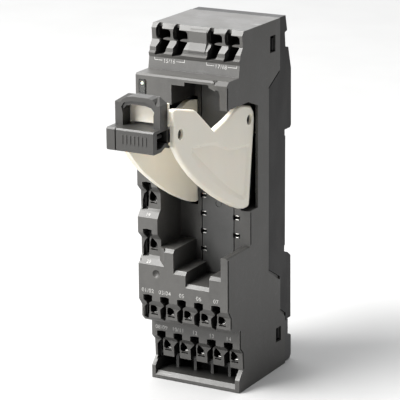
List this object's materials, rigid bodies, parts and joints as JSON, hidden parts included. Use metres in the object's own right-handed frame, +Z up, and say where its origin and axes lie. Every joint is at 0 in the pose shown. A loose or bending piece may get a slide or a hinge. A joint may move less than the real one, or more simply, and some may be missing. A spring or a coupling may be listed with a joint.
{
  "type": "relay socket",
  "caption": "Narrow upright relay socket for a mounting rail, with push-in terminals, an open relay cavity and an ivory release lever with a grip tab.",
  "frame": {"origin": "middle of the flat seat that rests on the mounting rail, on the rail's centreline", "axes": "+Z up along the case, -Y out of the front, +Y towards the rail"},
  "size_m": [0.0276, 0.0724, 0.1009],
  "materials": {
    "housing_plastic": "fine-grained dark grey moulding",
    "rear_plastic": "darker grey moulding",
    "carrier_plastic": "dark grey moulding",
    "lens": "translucent window",
    "board": "green circuit board",
    "led": "clear LED body",
    "diode": "black component body",
    "latch_plastic": "dark grey moulding",
    "spring_steel": "drawn spring wire",
    "lever_plastic": "ivory moulding, satin",
    "grip_plastic": "dark grey moulding, satin",
    "contact_metal": "tinned copper alloy",
    "clamp_steel": "stainless strip"
  },
  "bodies": {
    "socket": {"clamp_spring_01": "clamp_steel", "clamp_spring_02": "clamp_steel", "clamp_spring_03": "clamp_steel", "clamp_spring_04": "clamp_steel", "clamp_spring_05": "clamp_steel", "clamp_spring_06": "clamp_steel", "clamp_spring_07": "clamp_steel", "clamp_spring_08": "clamp_steel", "clamp_spring_09": "clamp_steel", "clamp_spring_10": "clamp_steel", "clamp_spring_11": "clamp_steel", "clamp_spring_12": "clamp_steel", "clamp_spring_13": "clamp_steel", "clamp_spring_14": "clamp_steel", "clamp_spring_15": "clamp_steel", "clamp_spring_16": "clamp_steel", "coil_bar_left": "contact_metal", "coil_bar_right": "contact_metal", "coil_diode": "diode", "contact_bar_01": "contact_metal", "contact_bar_02": "contact_metal", "contact_bar_03": "contact_metal", "contact_bar_04": "contact_metal", "contact_bar_05": "contact_metal", "contact_bar_06": "contact_metal", "contact_bar_07": "contact_metal", "contact_bar_08": "contact_metal", "contact_bar_09": "contact_metal", "contact_bar_10": "contact_metal", "contact_bar_11": "contact_metal", "contact_bar_12": "contact_metal", "contact_carrier": "carrier_plastic", "housing": "housing_plastic", "indicator_board": "board", "indicator_led": "led", "led_lens": "lens", "rear_cover": "rear_plastic"},
    "latch": {"din_latch": "latch_plastic", "latch_spring": "spring_steel"},
    "lever": {"release_lever": "lever_plastic", "lever_grip": "grip_plastic"}
  },
  "joints": [
    {"name": "lever_hinge", "type": "hinge", "parent": "socket", "child": "lever", "pos_m": [0, -0.01975, 0.02465], "axis": [1, 0, 0], "range_deg": [0, 33]},
    {"name": "latch_slide", "type": "slide", "parent": "socket", "child": "latch", "axis": [0, 0, -1], "range_m": [0, 0.003], "stiffness_N_per_m": 300, "springref_m": -0.003, "deforming": ["latch_spring"]}
  ]
}
